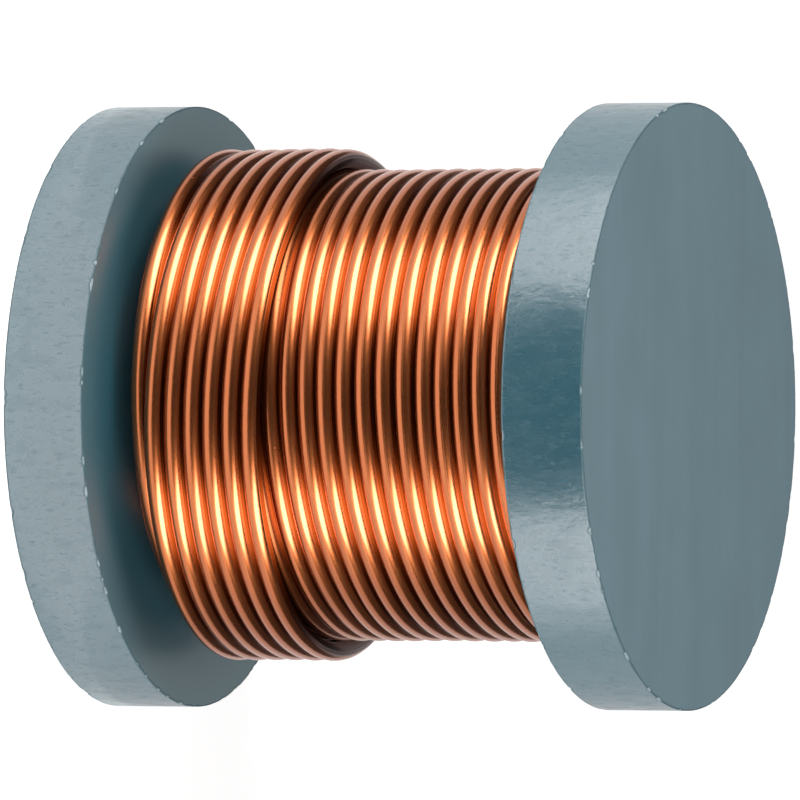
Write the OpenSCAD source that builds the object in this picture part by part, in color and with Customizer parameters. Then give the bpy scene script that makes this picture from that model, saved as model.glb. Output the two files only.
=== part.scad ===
// Drum-core choke coil: a one-piece ferrite drum, wound with one length of enamelled copper wire.
// It stands on its lower flange, with the drum's axis along Z and the origin at the middle of that
// flange's outer face. The front faces -Y. Both ends of the wire leave at the back.

/* [Drum core] */
// Diameter of the two flanges
drum_d = 43; // [42:0.5:56]
// Overall height of the drum
drum_h = 43.6; // [36:0.2:60]
// Thickness of each flange
flange_t = 6; // [4:0.1:8]
// Diameter of the leg between the flanges
leg_d = 22; // [18:0.5:24]
// Chamfer on the flanges' rims
edge_break = 0.2; // [0.1:0.05:0.6]
// Fillet radius where the leg meets a flange
root_fillet = 0.5; // [0.2:0.1:0.7]

/* [Wire] */
// Diameter of the bare copper
conductor_d = 1.32; // [1:0.02:1.6]
// Thickness of the enamel film
enamel_t = 0.025; // [0.01:0.005:0.06]
// Thickness of the solder film on the stripped ends
tin_t = 0.015; // [0.005:0.005:0.02]

/* [Winding] */
// Layers that fill the whole leg, an even number so that the last one ends low
full_layers = 4; // [2:2:4]
// Passes across the front in the part-filled outer layer
outer_passes = 6; // [2:1:12]
// Free space between neighbouring turns
turn_gap = 0.02; // [0.02:0.01:0.2]
// Free space between layers
layer_gap = 0.06; // [0.04:0.01:0.2]
// Free space between the leg and the first layer
core_gap = 0.05; // [0.04:0.01:0.3]
// Share of each turn's advance that falls on the front half
front_share = 0.8; // [0.2:0.05:0.9]
// Free space between the start lead and the flange under it
lead_gap = 0.05; // [0.04:0.01:0.3]
// Free height between the start lead and the lowest turn
lead_room = 0.7; // [0.3:0.05:3]
// Free height between the highest turn and the upper flange
top_room = 0.5; // [0.2:0.05:3]

/* [Leads] */
// Angle behind the X axis at which each end leaves the winding
exit_angle = 45; // [30:5:60]
// Length of each lead past the flange's rim
lead_out = 12; // [8:0.5:40]
// Length of the stripped and tinned end of each lead
tip_l = 8; // [3:0.5:8]
// Length over which the enamel thins out to the stripped end
strip_taper = 1; // [0.6:0.1:2]

/* [Hidden] */

ferrite_colour = [0.46, 0.53, 0.55];
copper_colour = [0.78, 0.38, 0.18];
drum_sides = 144;
turn_sides = 72;
wire_sides = 20;

drum_r = drum_d / 2;
leg_r = leg_d / 2;
wire_d = conductor_d + 2 * enamel_t;
tip_d = conductor_d + 2 * tin_t;
// The back half turns are this much thinner, so that their ends lie well inside those of the front ones.
joint_step = 0.01;
turn_pitch = wire_d + turn_gap;
layer_pitch = wire_d + layer_gap;

// A pass is the half turn across the front, from +X to -X. It leans by this much either side of its middle.
lean = front_share * turn_pitch / 2;
// Height at which a flat climbing pass, from one layer up to the next, clears the last pass of both layers.
climb_step = (turn_pitch + turn_gap) * norm([lean, layer_pitch / 2]) / (layer_pitch / 2) - lean;

lead_z = flange_t + lead_gap + wire_d / 2;
low_climb_z = lead_z + wire_d + lead_room;
low_pass_z = low_climb_z + climb_step;
high_limit_z = drum_h - flange_t - top_room - wire_d / 2 - climb_step;
passes = floor((high_limit_z - low_pass_z) / turn_pitch) + 1;
high_climb_z = pass_z(passes - 1) + climb_step;

// Middle height of pass number i of a layer, and centre radius of the wire in layer number k.
function pass_z(i) = low_pass_z + i * turn_pitch;
function layer_r(k) = leg_r + core_gap + wire_d / 2 + k * layer_pitch;
function goes_up(k) = k % 2 == 0;

// The wire is a chain of half turns. Each joint between them is [radius, height], at +X and -X by turns.
function rising(r, i) = [[r, pass_z(i) - lean], [r, pass_z(i) + lean]];
function falling(r, i) = [[r, pass_z(i) + lean], [r, pass_z(i) - lean]];
function up_layer(k, n) = [for (i = [0 : n - 1]) each rising(layer_r(k), i)];
function down_layer(k, n) = [for (i = [n - 1 : -1 : 0]) each falling(layer_r(k), i)];
function full_layer(k) = goes_up(k) ? up_layer(k, passes) : down_layer(k, passes);
function climb_z(k) = goes_up(k) ? high_climb_z : low_climb_z;
function climb(k) = [[layer_r(k), climb_z(k)], [layer_r(k + 1), climb_z(k)]];

lead_in = [[layer_r(0), lead_z], [layer_r(0), pass_z(-1) + lean]];
wire_joints = [
    each lead_in,
    for (k = [0 : full_layers - 1]) each concat(full_layer(k), climb(k)),
    each up_layer(full_layers, outer_passes)
];
last_joint = wire_joints[len(wire_joints) - 1];
// Where the next pass would start, which sets the slope at which the wire's end leaves.
next_joint = rising(layer_r(full_layers), outer_passes)[0];

// Straight length of a lead that leaves a layer of radius r and ends lead_out past the rim.
function lead_l(r) = sqrt(drum_r * drum_r - r * r) + lead_out;

// Geometry of the half turn between joints a and b. The angle is its tilt about Y.
function half_tilt(a, b) = atan((b[1] - a[1]) / (a[0] + b[0]));
function half_r(a, b) = (a[0] + b[0]) / 2 / cos(half_tilt(a, b));

// Places children in the plane of the half turn from joint a to joint b, with X towards the half's +X end.
module half_turn_plane(a, b, front) {
    side = front ? 1 : -1;
    translate([side * (a[0] - b[0]) / 2, 0, (a[1] + b[1]) / 2])
        rotate([0, side * half_tilt(a, b), 0])
            children();
}

// Arc of wire in the XY plane
module wire_arc(r, from, to, d) {
    rotate([0, 0, from])
        rotate_extrude(angle = to - from, $fn = turn_sides)
            translate([r, 0])
                circle(d = d, $fn = wire_sides);
}

module front_arc(r) {
    wire_arc(r, 180, 360, wire_d);
}

module back_arc(r, from = 0, to = 180) {
    wire_arc(r, from, to, wire_d - joint_step);
}

// One half turn of wire, across the front from +X to -X or round the back from -X to +X
module half_turn(a, b, front) {
    half_turn_plane(a, b, front)
        if (front)
            front_arc(half_r(a, b));
        else
            back_arc(half_r(a, b));
}

// Straight end of the wire along +Z, with its stripped and tinned tip
module lead(length) {
    tip_from = length - tip_l;
    taper_from = tip_from - strip_taper;
    cylinder(d = wire_d, h = taper_from, $fn = wire_sides);
    translate([0, 0, taper_from])
        cylinder(d1 = wire_d, d2 = tip_d, h = strip_taper, $fn = wire_sides);
    translate([0, 0, tip_from])
        cylinder(d = tip_d, h = tip_l, $fn = wire_sides);
}

module drum_core() {
    color(ferrite_colour)
        rotate_extrude($fn = drum_sides)
            drum_profile();
}

// Half section of the drum: the full block less the groove that the wire fills
module drum_profile() {
    groove_h = drum_h - 2 * flange_t;
    difference() {
        square([drum_r, drum_h]);
        translate([leg_r + root_fillet, flange_t])
            square([drum_r, groove_h]);
        translate([leg_r, flange_t + root_fillet])
            square([drum_r, groove_h - 2 * root_fillet]);
        for (z = [flange_t + root_fillet, drum_h - flange_t - root_fillet])
            translate([leg_r + root_fillet, z])
                circle(r = root_fillet, $fn = wire_sides);
        for (z = [0, drum_h])
            translate([drum_r, z])
                rotate(45)
                    square(edge_break * sqrt(2), center = true);
    }
}

module winding() {
    color(copper_colour) {
        translate([0, 0, lead_z])
            back_arc(layer_r(0), to = exit_angle);
        for (i = [0 : len(wire_joints) - 2])
            half_turn(wire_joints[i], wire_joints[i + 1], i % 2 == 0);
        half_turn_plane(last_joint, next_joint, false)
            back_arc(half_r(last_joint, next_joint), from = 180 - exit_angle);
    }
}

module start_lead() {
    color(copper_colour)
        translate([0, 0, lead_z])
            rotate([0, 0, exit_angle])
                translate([layer_r(0), 0, 0])
                    rotate([-90, 0, 0])
                        lead(lead_l(layer_r(0)));
}

module finish_lead() {
    color(copper_colour)
        half_turn_plane(last_joint, next_joint, false)
            rotate([0, 0, 180 - exit_angle])
                translate([half_r(last_joint, next_joint), 0, 0])
                    rotate([90, 0, 0])
                        lead(lead_l(layer_r(full_layers)));
}

drum_core();
winding();
start_lead();
finish_lead();
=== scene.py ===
"""Looks of a drum-core choke coil: ferrite drum, copper winding, the wire's two ends and a small studio."""

import math

import bpy
import numpy as np
from bpy.props import FloatProperty, FloatVectorProperty, IntProperty, PointerProperty
from mathutils import Matrix, Vector


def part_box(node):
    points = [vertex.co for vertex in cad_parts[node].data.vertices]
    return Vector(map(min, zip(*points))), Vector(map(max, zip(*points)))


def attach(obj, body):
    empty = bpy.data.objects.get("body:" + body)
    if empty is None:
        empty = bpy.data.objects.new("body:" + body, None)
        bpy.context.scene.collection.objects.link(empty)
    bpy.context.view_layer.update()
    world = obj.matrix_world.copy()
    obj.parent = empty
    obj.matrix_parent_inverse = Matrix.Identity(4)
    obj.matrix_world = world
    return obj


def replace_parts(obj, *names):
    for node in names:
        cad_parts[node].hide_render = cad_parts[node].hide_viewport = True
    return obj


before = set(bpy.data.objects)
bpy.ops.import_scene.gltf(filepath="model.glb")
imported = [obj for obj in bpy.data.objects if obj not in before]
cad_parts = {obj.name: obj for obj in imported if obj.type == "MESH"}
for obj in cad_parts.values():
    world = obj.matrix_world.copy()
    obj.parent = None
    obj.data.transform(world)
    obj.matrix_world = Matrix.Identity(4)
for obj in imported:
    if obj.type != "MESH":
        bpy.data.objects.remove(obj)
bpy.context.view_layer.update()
DRUM_LOW, DRUM_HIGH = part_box("drum_core")

bl_info = {
    "name": "Drum-core choke coil",
    "version": (1, 0, 0),
    "blender": (4, 5, 0),
    "location": "3D View > Sidebar > Choke",
    "description": "Builds the ferrite drum, copper winding, wire ends and studio of a choke coil",
    "category": "Object",
}

MM = 0.001
BODY = "root"
SEED = 43
WHITE = (1.0, 1.0, 1.0)
BLACK = (0.0, 0.0, 0.0)

# Fineness of the meshes
DRUM_SEGMENTS = 1200
WIRE_SIDES = 16
LEAD_SIDES = 24
SHOWN_STEPS = 64
HIDDEN_STEPS = 18
OPENING_STEPS = 12
CLOSING_STEPS = 16

# Side of the picture in pixels
PICTURE_SIDE = 800


def length(name, description, default):
    return FloatProperty(name=name, description=description, default=default, unit="LENGTH", precision=6)


def angle(name, description, degrees):
    default = math.radians(degrees)
    return FloatProperty(name=name, description=description, default=default, subtype="ANGLE")


def number(name, description, default):
    return FloatProperty(name=name, description=description, default=default)


def count(name, description, default):
    return IntProperty(name=name, description=description, default=default)


def colour(name, description, default):
    return FloatVectorProperty(name=name, description=description, default=default, subtype="COLOR", size=3)


class DrumSettings(bpy.types.PropertyGroup):
    """Sizes and colours of the ferrite drum."""

    diameter: length("Diameter", "Diameter of the two flanges", DRUM_HIGH.x - DRUM_LOW.x)
    height: length("Height", "Overall height of the drum", DRUM_HIGH.z)
    flange: length("Flange", "Thickness of each flange", 6 * MM)
    leg: length("Leg", "Diameter of the leg between the flanges", 22 * MM)
    fillet: length("Root fillet", "Fillet where the leg meets a flange", 0.5 * MM)
    edge: length("Edge wear", "Wear along the flanges' edges", 0.03 * MM)
    chip: length("Chip", "Depth of the deepest chips in the edges", 0.15 * MM)
    chips: count("Chips", "Number of chips in each edge", 60)
    recess_from: length("Recess from", "Reach at which the recess colour begins to fade", 16.8 * MM)
    recess_to: length("Recess to", "Reach at which the recess colour has faded", 21.6 * MM)
    body: colour("Ferrite", "Colour of the pressed ferrite", (0.024, 0.082, 0.108))
    ground: colour("Ground ferrite", "Colour of the ground end faces", (0.12, 0.182, 0.21))
    # Painted shade: the inner faces are coloured darker towards the winding and fade to inner_edge towards
    # their edge.
    recess_shade: colour("Recess", "Colour of the inner faces beside the winding", (0.014, 0.066, 0.087))
    inner_edge: colour("Inner edge", "Colour of the inner faces near their edge", (0.042, 0.112, 0.136))
    pit: colour("Pit", "Colour of dull pits and drag marks", (0.03, 0.075, 0.09))
    fracture: colour("Fracture", "Colour of freshly chipped edges", (0.22, 0.28, 0.3))


class WireSettings(bpy.types.PropertyGroup):
    """Sizes and colours of the enamelled wire."""

    diameter: length("Diameter", "Diameter over the enamel", 1.37 * MM)
    tip_diameter: length("Tip diameter", "Diameter of the tinned ends", 1.35 * MM)
    turn_gap: length("Turn gap", "Free space between neighbouring turns", 0.02 * MM)
    layer_gap: length("Layer gap", "Free space between layers", 0.06 * MM)
    core_gap: length("Core gap", "Free space between the leg and the first layer", 0.05 * MM)
    lead_gap: length("Lead gap", "Free space between the start lead and the flange under it", 0.05 * MM)
    lead_room: length("Lead room", "Free height between the start lead and the lowest turn", 0.7 * MM)
    top_room: length("Top room", "Free height between the highest turn and the upper flange", 0.5 * MM)
    lead_out: length("Lead length", "Length of each lead past the flange's rim", 12 * MM)
    tip: length("Tip length", "Length of the stripped and tinned ends", 8 * MM)
    taper: length("Taper", "Length over which the enamel thins out to the tip", 1 * MM)
    front_share: number("Front share", "Share of a turn's advance on the front half", 0.8)
    exit_angle: angle("Exit angle", "Angle at which the ends leave", 45)
    full_layers: count("Full layers", "Layers that fill the whole leg", 4)
    outer_passes: count("Outer passes", "Passes in the part-filled outer layer", 6)
    settle: length("Settle", "How far all turns have settled towards the lower flange", 0.3 * MM)
    spread: length("Spread", "Spare height that lies between the turns of the outer layer", 0.46 * MM)
    slack: length("Slack", "Spare height that lies between the looser turns", 0.55 * MM)
    slack_from: length("Slack from", "Height at which the turns begin to lie loose", 23.4 * MM)
    slack_to: length("Slack to", "Height at which they lie tight again", 29.6 * MM)
    swell: length("Swell", "How far the outer layer bulges on its left side", 0.3 * MM)
    waviness: length("Waviness", "How far the turns stray from round", 0.06 * MM)
    copper: colour("Copper", "Colour of the copper under its enamel", (0.545, 0.148, 0.043))
    worn: colour("Dull copper", "Colour of the duller stretches", (0.44, 0.115, 0.034))
    # The hollow colour is painted shade: the dark colour put between the turns.
    hollow: colour("Hollow", "Colour of the varnish between the turns", (0.09, 0.013, 0.002))
    tin: colour("Tin", "Colour of the tinned ends", (0.62, 0.61, 0.58))


class StudioSettings(bpy.types.PropertyGroup):
    """Sizes and levels of the floor, lamps and camera."""

    floor: colour("Floor", "Colour of the floor", (0.55, 0.55, 0.55))
    floor_size: length("Floor size", "Side of the floor", 6.0)
    floor_glow: number("Floor glow", "Extra brightness of the floor where it is seen", 1.18)
    distance: length("Camera distance", "From the camera to the drum's middle", 1010 * MM)
    elevation: angle("Camera elevation", "Angle of the camera above the floor", 21.76)
    lens: number("Lens", "Focal length in millimetres", 637.9)
    shift_across: number("Shift across", "Shift of the view to the right in pixels", -4.2)
    shift_up: number("Shift up", "Shift of the view upward in pixels", 6.7)
    lamp_distance: length("Lamp distance", "From each soft box to the drum's middle", 350 * MM)
    left_width: length("Left width", "Width of the left soft box", 298 * MM)
    left_azimuth: angle("Left azimuth", "Angle of the left soft box from the camera's side", 65)
    right_width: length("Right width", "Width of the right soft box", 248 * MM)
    right_azimuth: angle("Right azimuth", "Angle of the right soft box from the camera's side", 54)
    lamp_height: length("Lamp height", "Height of each soft box", 440 * MM)
    lamp_elevation: angle("Lamp elevation", "Angle of each soft box above the floor", 24.5)
    lamp_level: number("Lamp level", "Radiance at the middle of each soft box", 11.8)
    lamp_core: number("Lamp core", "Share of a soft box, from its middle, that has its full level", 0.42)
    back_level: number("Back level", "Radiance of the grey card behind", 0.62)
    flag_level: number("Flag level", "Radiance of the dark flag in front", 0.01)
    front_level: number("Front level", "Radiance of the side cards at their front", 1.35)
    left_level: number("Left level", "Radiance of the left side card", 0.88)
    right_level: number("Right level", "Radiance of the right side card", 0.74)
    sheen_level: number("Sheen level", "Radiance of the sheen cards under the soft boxes", 2.0)
    room_level: number("Room level", "Radiance of the dim room", 0.05)


class Shade:
    """A shader socket that takes part in arithmetic: an expression adds the Math nodes that it needs."""

    def __init__(self, tree, socket=None):
        self.tree = tree
        self.socket = socket

    def node(self, kind, settings=None, sockets=None, output=0):
        """Any node: its settings are set first, then the values or links of its sockets."""
        made = self.tree.nodes.new("ShaderNode" + kind)
        for name, value in (settings or {}).items():
            setattr(made, name, value)
        for name, value in (sockets or {}).items():
            if isinstance(value, Shade):
                self.tree.links.new(value.socket, made.inputs[name])
            else:
                made.inputs[name].default_value = value
        return Shade(self.tree, made.outputs[output]) if made.outputs else None

    def other(self, output):
        """Another output of the node that this socket belongs to."""
        return Shade(self.tree, self.socket.node.outputs[output])

    def math(self, operation, first, second=0.0):
        return self.node("Math", {"operation": operation}, {0: first, 1: second})

    def __add__(self, other):
        return self.math("ADD", self, other)

    def __radd__(self, other):
        return self.math("ADD", other, self)

    def __sub__(self, other):
        return self.math("SUBTRACT", self, other)

    def __rsub__(self, other):
        return self.math("SUBTRACT", other, self)

    def __mul__(self, other):
        return self.math("MULTIPLY", self, other)

    def __rmul__(self, other):
        return self.math("MULTIPLY", other, self)

    def __pow__(self, other):
        return self.math("POWER", self, other)

    def __abs__(self):
        return self.math("ABSOLUTE", self)

    def step(self, low, high):
        """Smooth step from 0 at low to 1 at high."""
        limits = {"From Min": low, "From Max": high, "To Min": 0.0, "To Max": 1.0}
        return self.node("MapRange", {"interpolation_type": "SMOOTHSTEP"}, {"Value": self, **limits})

    # The sockets of a Mix node share their names, so they go by number.
    def mix(self, first, second):
        """This value as the factor between two colours."""
        return self.node("Mix", {"data_type": "RGBA"}, {0: self, 6: first, 7: second}, 2)

    def between(self, first, second):
        """This value as the factor between two directions."""
        return self.node("Mix", {"data_type": "VECTOR"}, {0: self, 4: first, 5: second}, 1).unit()

    def unit(self):
        """This vector's direction, with a length of 1."""
        return self.node("VectorMath", {"operation": "NORMALIZE"}, {0: self})

    def shifted(self, offset):
        """This vector with an offset added."""
        return self.node("VectorMath", {"operation": "ADD"}, {0: self, 1: offset})

    def noise(self, scale, detail=2.0, roughness=0.5):
        """Noise at this vector."""
        sockets = {"Vector": self, "Scale": scale, "Detail": detail, "Roughness": roughness}
        return self.node("TexNoise", {}, sockets)

    def stretched(self, scales):
        """This vector with each part scaled by its own factor."""
        return self.node("VectorMath", {"operation": "MULTIPLY"}, {0: self, 1: scales})

    def along(self, direction):
        """How far this vector reaches along a direction."""
        return self.node("VectorMath", {"operation": "DOT_PRODUCT"}, {0: self, 1: direction}, "Value")

    def surface(self, **sockets):
        """A Principled surface with these sockets."""
        named = {name.replace("_", " "): value for name, value in sockets.items()}
        return self.node("BsdfPrincipled", {}, named)

    def output(self, surface):
        self.node("OutputMaterial", {}, {"Surface": surface})


def new_material(name):
    """An empty node material, and a Shade to grow its nodes from."""
    material = bpy.data.materials.new(name)
    material.use_nodes = True
    material.node_tree.nodes.clear()
    return material, Shade(material.node_tree)


def opaque(rgb, level=1.0):
    return (*(level * channel for channel in rgb), 1.0)


def ferrite_material(drum):
    """Sintered ferrite: matte ground ends, inner faces with painted shade towards the winding, burnished and
    pitted rims, chipped edges.
    """
    material, shade = new_material("ferrite")
    place = shade.node("TexCoord", output="Object")
    across = shade.node("SeparateXYZ", {}, {0: place})
    facing = shade.node("NewGeometry", output="Normal").along((0.0, 0.0, 1.0))
    rim = 1.0 - abs(facing).step(0.3, 0.8)
    turn = shade.math("ARCTAN2", across.other("Y"), across)
    unrolled = shade.node("CombineXYZ", {}, {"X": turn * (drum.diameter / 2), "Y": across.other("Z")})
    drags = unrolled.stretched((4500.0, 1100.0, 1.0)).noise(1.0, 2.0, 0.5)
    mottles = unrolled.stretched((900.0, 420.0, 1.0)).noise(1.0, 4.0, 0.6)
    grain = place.noise(6500.0, 3.0, 0.65)
    clouds = place.noise(160.0, 4.0, 0.55)
    pores = place.noise(1900.0, 2.0, 0.5).step(0.7, 0.78)
    fresh = shade.node("Attribute", {"attribute_name": "chip"}, output="Fac")
    half = drum.height / 2
    ends = abs(across.other("Z") - half).step(half - 0.1 * MM, half - 0.02 * MM)
    streaks = place.stretched((25.0, 210.0, 1.0)).noise(1.0, 3.0, 0.6)
    tint = (clouds * 0.4 + streaks * 0.6).step(0.3, 0.7)
    ground = tint.mix(opaque(drum.ground, 0.94), opaque(drum.ground, 1.07))
    # Painted shade on the inner faces: darker near the winding, lighter towards their edge.
    reach = (across * across + across.other("Y") * across.other("Y")) ** 0.5
    faded = reach.step(drum.recess_from, drum.recess_to)
    recess_shade = faded.mix(opaque(drum.recess_shade), opaque(drum.inner_edge))
    height = grain * 0.5 + drags * rim + 9.0 * mottles * rim - pores
    bump = shade.node("Bump", {}, {"Strength": 0.25, "Distance": 0.02 * MM, "Height": height})
    polish = 0.13 + 0.12 * mottles
    burnished = shade.surface(Base_Color=opaque(drum.body), Roughness=polish, IOR=2.52, Normal=bump)
    shadowed = shade.surface(Base_Color=recess_shade, Roughness=0.4, IOR=1.9, Normal=bump)
    matte = shade.surface(Base_Color=ground, Roughness=0.7, IOR=1.3, Normal=bump)
    flat = shade.node("MixShader", {}, {0: ends, 1: shadowed, 2: matte})
    sound = shade.node("MixShader", {}, {0: rim, 1: flat, 2: burnished})
    crystals = fresh.step(0.6, 1.0) * grain.step(0.25, 0.55)
    broken = crystals.mix(opaque(drum.pit), opaque(drum.fracture))
    dull = shade.surface(Base_Color=broken, Roughness=0.65, IOR=1.6)
    marks = drags.step(0.58, 0.68) * 0.32 + mottles.step(0.45, 0.75) * 0.2
    worn = marks * rim + pores * (0.15 + 0.25 * rim)
    pitted = shade.math("MAXIMUM", worn, fresh.step(0.05, 0.3))
    shade.output(shade.node("MixShader", {}, {0: pitted, 1: sound, 2: dull}))
    return material


def copper_shades(shade, wire):
    """The place along and round the enamelled wire, and the colour, roughness and draw marks there."""
    run = shade.node("UVMap", {"uv_map": "run"}, output="UV")
    marks = run.stretched((150.0, 16.0, 1.0)).noise(1.0, 3.0, 0.6)
    dull = run.stretched((60.0, 3.0, 1.0)).noise(1.0, 3.0, 0.55).step(0.45, 0.8)
    specks = run.stretched((1500.0, 4.0, 1.0)).noise(1.0, 2.0, 0.5).step(0.74, 0.8)
    tone = (dull * 0.5 + marks * 0.15).mix(opaque(wire.copper), opaque(wire.worn))
    dusty = (specks * 0.5).mix(tone, opaque(wire.worn, 0.3))
    return run, dusty, 0.24 + 0.06 * dull + 0.04 * marks + 0.2 * specks, marks


def crevice_normal(shade):
    """Direction that the normal between two turns is turned to: outward and a little up, so that the gaps
    catch the soft boxes.
    """
    outward = shade.node("TexCoord", output="Object").stretched((1.0, 1.0, 0.0))
    return outward.unit().shifted((0.0, 0.0, 0.5)).unit()


def enamelled_copper_material(wire):
    """Copper wire under clear enamel, with draw marks, duller stretches, and painted shade between the turns
    and beside the outer layer's last turn.
    """
    material, shade = new_material("enamelled_copper")
    run, tone, roughness, marks = copper_shades(shade, wire)
    around = shade.node("SeparateXYZ", {}, {0: run}).other("Y")
    step_shade = shade.node("Attribute", {"attribute_name": "step_shade"}, output="Fac")
    # The wire's crown lies at 0.5 round it, and the painted shade between the turns begins about a sixth of
    # the way round from there.
    crevice_shade = abs(around - 0.5).step(0.145, 0.175)
    # Painted shade in the hollow beside the outer layer's last turn: the duller copper, darkened.
    shaded = step_shade.mix(tone, opaque(wire.worn, 0.45))
    bump = shade.node("Bump", {}, {"Strength": 0.05, "Distance": 0.01 * MM, "Height": marks})
    surface = shade.surface(
        Base_Color=crevice_shade.mix(shaded, opaque(wire.hollow)),
        Metallic=1.0,
        Roughness=roughness,
        Normal=crevice_shade.between(bump, crevice_normal(shade)),
        Coat_Weight=0.6 - 0.5 * shade.math("MAXIMUM", crevice_shade, step_shade),
        Coat_Roughness=0.15,
        Coat_IOR=1.5,
    )
    shade.output(surface)
    return material


def lead_material(wire, bare_from):
    """The wire's end: enamelled up to bare_from along it, then stripped and tinned."""
    material, shade = new_material("tinned_lead")
    run, tone, roughness, marks = copper_shades(shade, wire)
    distance = shade.node("SeparateXYZ", {}, {0: run})
    ragged = run.stretched((900.0, 5.0, 1.0)).noise(1.0, 2.0, 0.5)
    tinned = (distance + (ragged - 0.5) * (0.8 * MM)).step(bare_from - 0.06 * MM, bare_from + 0.06 * MM)
    ripples = run.stretched((500.0, 2.5, 1.0)).noise(1.0, 4.0, 0.55)
    tin = ripples.step(0.3, 0.7).mix(opaque(wire.tin), opaque(wire.tin, 1.25))
    height = marks * (1.0 - tinned) * 0.1 + ripples * tinned
    bump = shade.node("Bump", {}, {"Strength": 0.35, "Distance": 0.04 * MM, "Height": height})
    surface = shade.surface(
        Base_Color=tinned.mix(tone, tin),
        Metallic=1.0,
        Roughness=roughness + 0.1 * tinned,
        Normal=bump,
        Coat_Weight=0.8 * (1.0 - tinned),
        Coat_Roughness=0.15,
        Coat_IOR=1.5,
    )
    shade.output(surface)
    return material


def grid_places(rings, sides, closed):
    """Where each ring and the next one start, and the number of each side, in a grid that may be closed."""
    here = np.arange(rings if closed else rings - 1)[:, None] * sides
    there = (here + sides) % (rings * sides)
    side = np.arange(sides)[None, :]
    return here, there, side


def add_piece(name, verts, faces, material, uvs=None):
    """A smooth mesh object that rides on the part."""
    mesh = bpy.data.meshes.new(name)
    mesh.from_pydata(verts, [], faces)
    mesh.polygons.foreach_set("use_smooth", [True] * len(mesh.polygons))
    if uvs is not None:
        layer = mesh.uv_layers.new(name="run")
        corners = np.zeros(len(mesh.loops), np.int32)
        mesh.loops.foreach_get("vertex_index", corners)
        layer.data.foreach_set("uv", uvs[corners].ravel())
    mesh.materials.append(material)
    mesh.update()
    piece = bpy.data.objects.new(name, mesh)
    bpy.context.scene.collection.objects.link(piece)
    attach(piece, BODY)
    return piece


def ring_noise(draw, segments, grain):
    """Random values from 0 to 1 round a ring, smoothed over so many segments."""
    window = np.zeros(segments)
    window[:grain] = np.hanning(grain + 2)[1:-1]
    smooth = np.fft.ifft(np.fft.fft(draw.random(segments)) * np.fft.fft(window)).real
    return (smooth - smooth.min()) / (smooth.max() - smooth.min())


def edge_wear(drum, draw, segments):
    """How far one edge is worn back, across and along the axis, and how fresh it is, at each segment."""
    chipped = np.zeros(segments)
    for _ in range(drum.chips):
        middle = draw.integers(segments)
        half_width = draw.uniform(1.2, 5.0)
        depth = drum.chip * draw.uniform(0.25, 1.0) ** 2
        away = (np.arange(segments) - middle + segments / 2) % segments - segments / 2
        chipped = np.maximum(chipped, depth * np.clip(1.0 - (away / half_width) ** 2, 0.0, 1.0))
    worn = drum.edge * (0.3 + ring_noise(draw, segments, 3) + ring_noise(draw, segments, 14))
    across = worn + chipped * (0.6 + 0.4 * ring_noise(draw, segments, 5))
    along = worn + chipped * (0.6 + 0.4 * ring_noise(draw, segments, 5))
    return across, along, np.clip(0.3 + 2.0 * chipped / drum.chip, 0.0, 1.0)


def flange_rows(drum, outer, inner):
    """Rows of a flange on z = 0 from its outer face, round its rim, to the leg: radius, height and chip."""
    radius, leg, flange, fillet = drum.diameter / 2, drum.leg / 2, drum.flange, drum.fillet
    margin = 0.12 * MM
    rows = [(share * radius, 0.0, 0.0) for share in (0.2, 0.4, 0.6, 0.8, 0.92, 0.97)]
    across, along, fresh = outer
    rows.append((radius - across - margin, 0.0, 0.0))
    rows.append((radius - across, 0.0, fresh))
    rows.append((radius - 0.35 * across, 0.35 * along, fresh))
    rows.append((radius, along, fresh))
    rows.append((radius, along + margin, 0.0))
    rows += [(radius, share * flange, 0.0) for share in (0.25, 0.5, 0.75)]
    across, along, fresh = inner
    rows.append((radius, flange - along - margin, 0.0))
    rows.append((radius, flange - along, fresh))
    rows.append((radius - 0.35 * across, flange - 0.35 * along, fresh))
    rows.append((radius - across, flange, fresh))
    rows.append((radius - across - margin, flange, 0.0))
    rows += [(share * radius, flange, 0.0) for share in (0.93, 0.85, 0.75, 0.65)]
    for turn in np.linspace(0.0, math.pi / 2, 5):
        rows.append((leg + fillet * (1 - math.sin(turn)), flange + fillet * (1 - math.cos(turn)), 0.0))
    return rows


def drum_mesh(drum, segments):
    """Vertices, faces and chip marks of the whole drum, closed by a fan on each end."""
    draw = np.random.default_rng(SEED)
    edges = [edge_wear(drum, draw, segments) for _ in range(4)]
    lower = flange_rows(drum, edges[0], edges[1])
    upper = [(r, drum.height - z, chip) for r, z, chip in flange_rows(drum, edges[3], edges[2])]
    rows = lower + [(drum.leg / 2, drum.height / 2, 0.0)] + upper[::-1]
    parts = [[np.broadcast_to(part, segments) for part in column] for column in zip(*rows)]
    radii, heights, chips = (np.stack(part, 1) for part in parts)
    turns = np.arange(segments)[:, None] * 2 * math.pi / segments
    verts = np.stack([radii * np.cos(turns), radii * np.sin(turns), heights], 2).reshape(-1, 3)
    here, there, row = grid_places(segments, len(rows), True)
    row = row[:, :-1]
    faces = np.stack([here + row, there + row, there + row + 1, here + row + 1], 2).reshape(-1, 4).tolist()
    base, top = len(verts), len(verts) + 1
    for first, second in zip(here.ravel().tolist(), there.ravel().tolist()):
        faces.append((base, second, first))
        faces.append((top, first + len(rows) - 1, second + len(rows) - 1))
    verts = np.vstack([verts, [(0.0, 0.0, 0.0), (0.0, 0.0, drum.height)]])
    return verts, faces, np.append(chips.ravel(), [0.0, 0.0])


def ramp(values, low, high):
    """Straight ramp from 0 at low to 1 at high."""
    return np.clip((values - low) / (high - low), 0.0, 1.0)


def distance_along(points):
    """Distance of each point of a route from its start."""
    return np.append(0.0, np.cumsum(np.linalg.norm(np.diff(points, axis=0), axis=1)))


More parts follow.
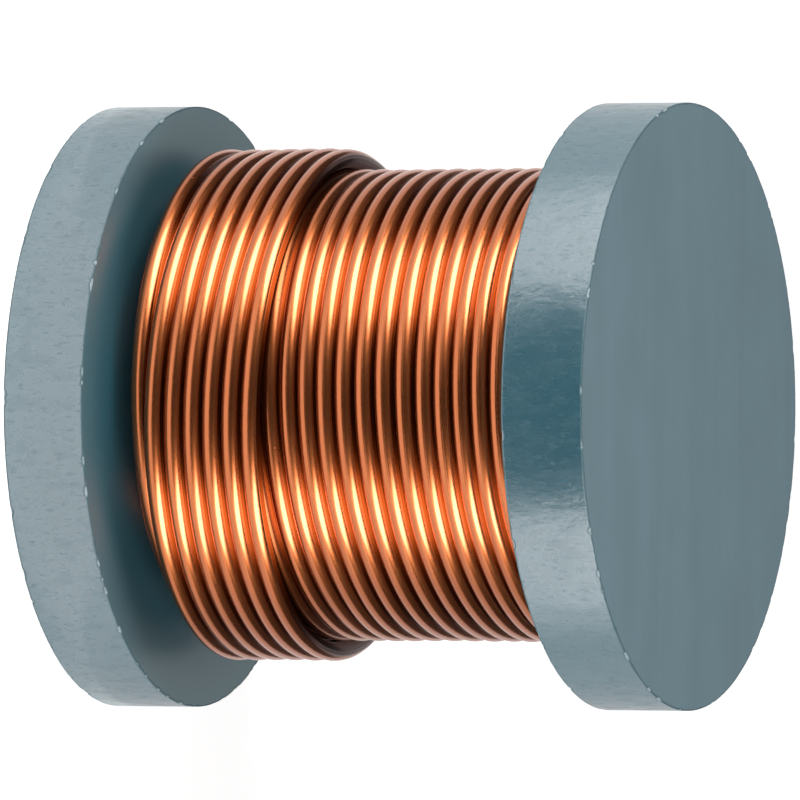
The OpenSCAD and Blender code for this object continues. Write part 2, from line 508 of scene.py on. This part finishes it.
class WirePath:
    """Route of the wire: a chain of half turns, by the same rules as the solid model."""

    def __init__(self, wire, drum):
        self.wire = wire
        self.leg = drum.leg / 2
        self.turn_pitch = wire.diameter + wire.turn_gap
        self.layer_pitch = wire.diameter + wire.layer_gap
        self.lean = wire.front_share * self.turn_pitch / 2
        half = self.layer_pitch / 2
        climb = (self.turn_pitch + wire.turn_gap) * math.hypot(self.lean, half) / half - self.lean
        self.lead_z = drum.flange + wire.lead_gap + wire.diameter / 2
        self.low_climb = self.lead_z + wire.diameter + wire.lead_room
        self.low_pass = self.low_climb + climb
        limit = drum.height - drum.flange - wire.top_room - wire.diameter / 2 - climb
        self.passes = math.floor((limit - self.low_pass) / self.turn_pitch) + 1
        self.high_climb = self.pass_z(self.passes - 1) + climb

    def pass_z(self, number):
        """Middle height of a pass across the front."""
        return self.low_pass + number * self.turn_pitch

    def layer_r(self, layer):
        """Radius of the wire's centre in a layer."""
        return self.leg + self.wire.core_gap + self.wire.diameter / 2 + layer * self.layer_pitch

    def pass_joints(self, layer, number):
        """Start and end of a pass, as radius, height and layer."""
        lean = self.lean if layer % 2 == 0 else -self.lean
        middle = self.pass_z(number)
        return [(self.layer_r(layer), middle - lean, layer), (self.layer_r(layer), middle + lean, layer)]

    def joints(self):
        """Radius, height and layer of each joint between half turns, at +X and -X by turns."""
        wire = self.wire
        chain = [(self.layer_r(0), self.lead_z, 0), (self.layer_r(0), self.pass_z(-1) + self.lean, 0)]
        for layer in range(wire.full_layers + 1):
            passes = self.passes if layer < wire.full_layers else wire.outer_passes
            order = range(passes) if layer % 2 == 0 else reversed(range(passes))
            for number in order:
                chain += self.pass_joints(layer, number)
            if layer < wire.full_layers:
                z = self.high_climb if layer % 2 == 0 else self.low_climb
                chain += [(self.layer_r(layer), z, layer), (self.layer_r(layer + 1), z, layer + 1)]
        return chain

    def half_turn(self, start, end, front, angles):
        """Points of the half turn between two joints, at angles from 0 to pi along it."""
        mean = (start[0] + end[0]) / 2
        rise = end[1] - start[1]
        tilt = math.atan(rise / (2 * mean))
        x = (start[0] - end[0]) / 2 + mean * np.cos(angles)
        y = -mean / math.cos(tilt) * np.sin(angles)
        z = (start[1] + end[1]) / 2 - rise / 2 * np.cos(angles)
        side = 1 if front else -1
        return np.stack([side * x, side * y, z], 1)

    def finish_turn(self, angles):
        """Points past the last joint, where the wire leaves its outer layer."""
        outer = self.wire.full_layers
        after = self.pass_joints(outer, self.wire.outer_passes)[0]
        return self.half_turn(self.joints()[-1], after, False, angles)

    def waves(self, points):
        """Smooth random waves, from -1 to 1, over the winding's angle and height."""
        draw = np.random.default_rng(SEED)
        turn = np.arctan2(points[:, 1], points[:, 0])
        waves = np.zeros(len(points))
        for _ in range(12):
            bends = draw.integers(3, 9)
            rise = draw.uniform(0.4, 1.2) / MM
            waves += np.sin(bends * turn + rise * points[:, 2] + draw.uniform(0.0, 2 * math.pi)) / 6
        return np.clip(waves, -1.0, 1.0)

    def loosened(self, points):
        """The route as wound by hand: turns settle or lie loose, and the layers bulge and wave a little."""
        wire = self.wire
        z = points[:, 2]
        reach = np.hypot(points[:, 0], points[:, 1])
        outer = np.clip((reach - self.layer_r(wire.full_layers)) / self.layer_pitch + 1, 0.0, 1.0)
        rise = wire.slack * ramp(z, wire.slack_from, wire.slack_to)
        rise -= wire.settle * ramp(z, self.lead_z, self.low_climb)
        rise += wire.spread * outer * ramp(z, self.low_climb, self.pass_z(wire.outer_passes - 1))
        leftward = np.clip(-points[:, 0] / reach, 0.0, 1.0)
        bulge = wire.swell * leftward**2 + wire.waviness * self.waves(points)
        bulge *= (reach - self.leg) / (self.layer_r(wire.full_layers) - self.leg)
        travelled = distance_along(points)
        held = 20 * MM
        ends = ramp(np.minimum(travelled, travelled[-1] - travelled), 0.0, held)
        ends *= ends * (3 - 2 * ends)
        moved = points.copy()
        moved[:, :2] *= (1 + ends * bulge / reach)[:, None]
        moved[:, 2] += ends * rise
        return moved

    def step_shade(self, points):
        """How deep each point lies in the hollow beside the last turn of the outer layer, from 0 to 1: the
        mask of painted shade there.
        """
        reach = np.hypot(points[:, 0], points[:, 1])
        sectors = 90
        turn = np.arctan2(points[:, 1], points[:, 0]) / (2 * math.pi) + 0.5
        sector = (turn * sectors).astype(int) % sectors
        outer = reach > self.layer_r(self.wire.full_layers) - 0.4 * self.layer_pitch
        edge = np.zeros(sectors)
        np.maximum.at(edge, sector[outer], points[outer, 2])
        beyond = points[:, 2] - edge[sector]
        covered = beyond < -0.7 * MM
        return np.where(outer | covered, 0.0, 1.0 - ramp(beyond, 0.3 * MM, 0.9 * MM))


def tube(points, radii, sides):
    """Closed tube round a route: vertices, faces, and each vertex's place along and round the wire."""
    tangent = np.gradient(points, axis=0)
    tangent /= np.linalg.norm(tangent, axis=1)[:, None]
    outward = points * (1.0, 1.0, 0.0)
    outward -= (outward * tangent).sum(1)[:, None] * tangent
    outward /= np.linalg.norm(outward, axis=1)[:, None]
    upward = np.cross(tangent, outward)
    turns = np.arange(sides) * 2 * math.pi / sides
    cosines, sines = np.cos(turns)[None, :, None], np.sin(turns)[None, :, None]
    ring = cosines * outward[:, None] + sines * upward[:, None]
    verts = (points[:, None] + radii[:, None, None] * ring).reshape(-1, 3)
    around = (np.arange(sides) / sides + 0.5) % 1.0
    uvs = np.stack(np.broadcast_arrays(distance_along(points)[:, None], around[None, :]), 2).reshape(-1, 2)
    here, there, side = grid_places(len(points), sides, False)
    after = (side + 1) % sides
    faces = np.stack([here + side, here + after, there + after, there + side], 2).reshape(-1, 4).tolist()
    faces.append(list(reversed(range(sides))))
    faces.append(list(range(len(verts) - sides, len(verts))))
    return verts, faces, uvs


class MakeFerriteDrum(bpy.types.Operator):
    """Make the ferrite drum with its worn and chipped edges"""

    bl_idname = "choke.make_ferrite_drum"
    bl_label = "Ferrite drum"

    def execute(self, context):
        drum = context.scene.choke_drum
        verts, faces, chips = drum_mesh(drum, DRUM_SEGMENTS)
        piece = add_piece("ferrite_drum", verts, faces, ferrite_material(drum))
        piece.data.set_sharp_from_angle(angle=math.radians(30))
        marks = piece.data.attributes.new("chip", "FLOAT", "POINT")
        marks.data.foreach_set("value", chips)
        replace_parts(piece, "drum_core")
        return {"FINISHED"}


class MakeCopperWinding(bpy.types.Operator):
    """Make the enamelled copper winding as one length of wire"""

    bl_idname = "choke.make_copper_winding"
    bl_label = "Copper winding"

    def execute(self, context):
        wire, drum = context.scene.choke_wire, context.scene.choke_drum
        path = WirePath(wire, drum)
        chain = path.joints()
        opening = np.linspace(math.pi - wire.exit_angle, math.pi, OPENING_STEPS + 1)[:-1]
        runs = [path.half_turn(chain[0], chain[0], False, opening)]
        for place, (start, end) in enumerate(zip(chain[:-1], chain[1:])):
            shown = end[2] >= wire.full_layers - 1
            steps = SHOWN_STEPS if shown else HIDDEN_STEPS
            angles = np.linspace(0.0, math.pi, steps + 1)[:-1]
            runs.append(path.half_turn(start, end, place % 2 == 0, angles))
        runs.append(path.finish_turn(np.linspace(0.0, wire.exit_angle, CLOSING_STEPS + 1)))
        points = path.loosened(np.vstack(runs))
        verts, faces, uvs = tube(points, np.full(len(points), wire.diameter / 2), WIRE_SIDES)
        piece = add_piece("copper_winding", verts, faces, enamelled_copper_material(wire), uvs)
        # The mask of painted shade beside the outer layer's last turn.
        hollow = piece.data.attributes.new("step_shade", "FLOAT", "POINT")
        hollow.data.foreach_set("value", np.repeat(path.step_shade(points), WIRE_SIDES))
        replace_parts(piece, "winding")
        return {"FINISHED"}


class MakeLeads(bpy.types.Operator):
    """Make the two ends of the wire, with their stripped and tinned tips"""

    bl_idname = "choke.make_leads"
    bl_label = "Leads"

    def lead(self, context, name, origin, heading, layer_r):
        """A straight end from origin along heading, up to lead_out past the rim."""
        wire, drum = context.scene.choke_wire, context.scene.choke_drum
        reach = math.sqrt((drum.diameter / 2) ** 2 - layer_r**2) + wire.lead_out
        bare = reach - wire.tip
        rounding = 0.1 * MM
        enamelled = np.linspace(0.0, bare, 60)
        tinned = np.linspace(bare, reach - rounding, 40)[1:]
        steps = np.concatenate([enamelled, tinned, [reach]])
        points = np.array(origin) + steps[:, None] * np.array(heading)
        thinned = np.clip((steps - bare + wire.taper) / wire.taper, 0.0, 1.0)
        radii = (wire.diameter + (wire.tip_diameter - wire.diameter) * thinned) / 2
        radii[-1] -= rounding
        verts, faces, uvs = tube(points, radii, LEAD_SIDES)
        piece = add_piece(name, verts, faces, lead_material(wire, bare - 0.4 * wire.taper), uvs)
        return piece

    def execute(self, context):
        wire, drum = context.scene.choke_wire, context.scene.choke_drum
        path = WirePath(wire, drum)
        turn = wire.exit_angle
        inner = path.layer_r(0)
        origin = (inner * math.cos(turn), inner * math.sin(turn), path.lead_z)
        heading = (-math.sin(turn), math.cos(turn), 0.0)
        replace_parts(self.lead(context, "start_lead_wire", origin, heading, inner), "start_lead")
        just_before = turn - 0.001
        before, origin = path.finish_turn(np.array([just_before, turn]))
        heading = (origin - before) / np.linalg.norm(origin - before)
        outer = path.layer_r(wire.full_layers)
        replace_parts(self.lead(context, "finish_lead_wire", origin, heading, outer), "finish_lead")
        return {"FINISHED"}


class MakeStudio(bpy.types.Operator):
    """Make the pale floor, the soft boxes, the cards and the camera"""

    bl_idname = "choke.make_studio"
    bl_label = "Studio"

    # The side cards start here along Y, and their front level has faded out at the second place.
    side_front = -35 * MM
    side_blend = 8 * MM

    def sheet(self, name, corners, material):
        """A flat sheet that belongs to the studio."""
        mesh = bpy.data.meshes.new(name)
        mesh.from_pydata(corners, [], [(0, 1, 2, 3)])
        mesh.materials.append(material)
        sheet = bpy.data.objects.new(name, mesh)
        bpy.context.scene.collection.objects.link(sheet)
        return sheet

    def rectangle(self, left, right, low, high):
        """Corners of a rectangle between two values across and two along."""
        return [(left, low), (right, low), (right, high), (left, high)]

    def floor(self, studio):
        """The pale floor, which looks brighter to the camera and in reflections than it lights."""
        material, shade = new_material("pale_floor")
        ray = shade.node("LightPath", output="Is Camera Ray")
        mirrored = shade.math("MAXIMUM", ray.other("Is Glossy Ray"), ray.other("Is Transmission Ray"))
        seen = shade.math("MAXIMUM", ray, mirrored)
        lit = shade.node("BsdfDiffuse", {}, {"Color": opaque(studio.floor)})
        glow = shade.node("Emission", {}, {"Color": opaque(studio.floor), "Strength": studio.floor_glow})
        bright = shade.node("AddShader", {}, {0: lit, 1: glow})
        shade.output(shade.node("MixShader", {}, {0: seen, 1: lit, 2: bright}))
        half = studio.floor_size / 2
        self.sheet("floor", [(x, y, 0.0) for x, y in self.rectangle(-half, half, -half, half)], material)

    def card(self, name, corners, level, front_level=None):
        """A card that shows only in reflections. It may have a level of its own at the front."""
        material, shade = new_material(name)
        tone = opaque(WHITE, level)
        if front_level is not None:
            place = shade.node("NewGeometry", output="Position")
            backward = shade.node("SeparateXYZ", {}, {0: place}).other("Y")
            blend = backward.step(self.side_front, self.side_blend)
            tone = blend.mix(opaque(WHITE, front_level), tone)
        shade.output(shade.node("Emission", {}, {"Color": tone}))
        card = self.sheet(name, corners, material)
        card.visible_camera = False
        card.visible_diffuse = False
        card.visible_shadow = False

    def cards(self, studio):
        """A dark flag, two side cards and two sheen cards just above the floor, and a grey card behind."""
        lying = 0.5 * MM
        raised = 0.6 * MM
        flag = self.rectangle(-86 * MM, 76 * MM, -900 * MM, -88 * MM)
        self.card("dark_flag", [(x, y, lying) for x, y in flag], studio.flag_level)
        for name, side, level in (("left", -1, studio.left_level), ("right", 1, studio.right_level)):
            pale = self.rectangle(side * 22 * MM, side * 400 * MM, self.side_front, 400 * MM)
            self.card(name + "_card", [(x, y, lying) for x, y in pale], level, studio.front_level)
        for name, start, end in (("left_sheen", -88, -42), ("right_sheen", 36, 74)):
            sheen = self.rectangle(130 * MM, 430 * MM, math.radians(start), math.radians(end))
            corners = [(reach * math.sin(turn), -reach * math.cos(turn), raised) for reach, turn in sheen]
            self.card(name, corners, studio.sheen_level)
        back = self.rectangle(-300 * MM, 300 * MM, 30 * MM, 560 * MM)
        self.card("grey_card", [(x, 600 * MM, z) for x, z in back], studio.back_level)

    def soft_box(self, name, studio, middle, azimuth, width):
        """An area lamp that fades towards its edge, as a lamp behind cloth does."""
        lamp = bpy.data.lights.new(name, "AREA")
        lamp.shape = "ELLIPSE"
        lamp.size = width
        lamp.size_y = studio.lamp_height
        area = math.pi / 4 * width * studio.lamp_height
        lamp.energy = studio.lamp_level * math.pi * area
        flat = math.cos(studio.lamp_elevation)
        rise = math.sin(studio.lamp_elevation)
        towards = Vector((math.sin(azimuth) * flat, -math.cos(azimuth) * flat, rise))
        box = bpy.data.objects.new(name, lamp)
        turn = (-towards).to_track_quat("-Z", "Y")
        box.location = middle + towards * studio.lamp_distance
        box.rotation_mode = "QUATERNION"
        box.rotation_quaternion = turn
        bpy.context.scene.collection.objects.link(box)
        lamp.use_nodes = True
        lamp.node_tree.nodes.clear()
        shade = Shade(lamp.node_tree)
        place = shade.node("NewGeometry", output="Position")
        offset = shade.node("VectorMath", {"operation": "SUBTRACT"}, {0: place, 1: box.location})
        across = offset.along(turn @ Vector((2 / width, 0.0, 0.0)))
        upward = offset.along(turn @ Vector((0.0, 2 / studio.lamp_height, 0.0)))
        reach = (across * across + upward * upward) ** 0.5
        fade = reach.step(studio.lamp_core, 1.0).mix(opaque(WHITE), opaque(BLACK))
        shade.node("OutputLight", {}, {"Surface": shade.node("Emission", {}, {"Color": fade})})

    def camera(self, studio, middle):
        """The camera, turned so that the drum's axis lies across the picture."""
        flat = math.cos(studio.elevation)
        rise = math.sin(studio.elevation)
        back = Vector((0.0, -flat, rise))
        right = Vector((0.0, rise, flat))
        up = Vector((-1.0, 0.0, 0.0))
        data = bpy.data.cameras.new("camera")
        data.lens = studio.lens
        data.sensor_width = 36.0
        data.shift_x = studio.shift_across / PICTURE_SIDE
        data.shift_y = studio.shift_up / PICTURE_SIDE
        data.clip_start = 0.05
        data.clip_end = 20.0
        camera = bpy.data.objects.new("camera", data)
        turn = Matrix((right, up, back)).transposed()
        camera.matrix_world = Matrix.Translation(middle + back * studio.distance) @ turn.to_4x4()
        bpy.context.scene.collection.objects.link(camera)
        bpy.context.scene.camera = camera

    def execute(self, context):
        studio, drum = context.scene.choke_studio, context.scene.choke_drum
        middle = Vector((0.0, 0.0, drum.height / 2))
        self.floor(studio)
        self.cards(studio)
        self.soft_box("soft_box_left", studio, middle, -studio.left_azimuth, studio.left_width)
        self.soft_box("soft_box_right", studio, middle, studio.right_azimuth, studio.right_width)
        self.camera(studio, middle)
        world = bpy.data.worlds.new("dim_room")
        world.use_nodes = True
        background = world.node_tree.nodes["Background"]
        background.inputs["Color"].default_value = opaque(WHITE)
        background.inputs["Strength"].default_value = studio.room_level
        context.scene.world = world
        context.scene.view_settings.view_transform = "Standard"
        return {"FINISHED"}


class ChokePanel(bpy.types.Panel):
    """Buttons that make the choke's pieces"""

    bl_idname = "VIEW3D_PT_choke"
    bl_label = "Choke coil"
    bl_space_type = "VIEW_3D"
    bl_region_type = "UI"
    bl_category = "Choke"

    def draw(self, context):
        for operator in OPERATORS:
            self.layout.operator(operator.bl_idname)


SETTINGS = {"choke_drum": DrumSettings, "choke_wire": WireSettings, "choke_studio": StudioSettings}
OPERATORS = (MakeFerriteDrum, MakeCopperWinding, MakeLeads, MakeStudio)


def register():
    for name, group in SETTINGS.items():
        bpy.utils.register_class(group)
        setattr(bpy.types.Scene, name, PointerProperty(type=group))
    for operator in OPERATORS:
        bpy.utils.register_class(operator)
    bpy.utils.register_class(ChokePanel)


def unregister():
    bpy.utils.unregister_class(ChokePanel)
    for operator in reversed(OPERATORS):
        bpy.utils.unregister_class(operator)
    for name, group in SETTINGS.items():
        delattr(bpy.types.Scene, name)
        bpy.utils.unregister_class(group)


def main():
    register()
    bpy.ops.choke.make_ferrite_drum()
    bpy.ops.choke.make_copper_winding()
    bpy.ops.choke.make_leads()
    bpy.ops.choke.make_studio()


if __name__ == "__main__":
    main()
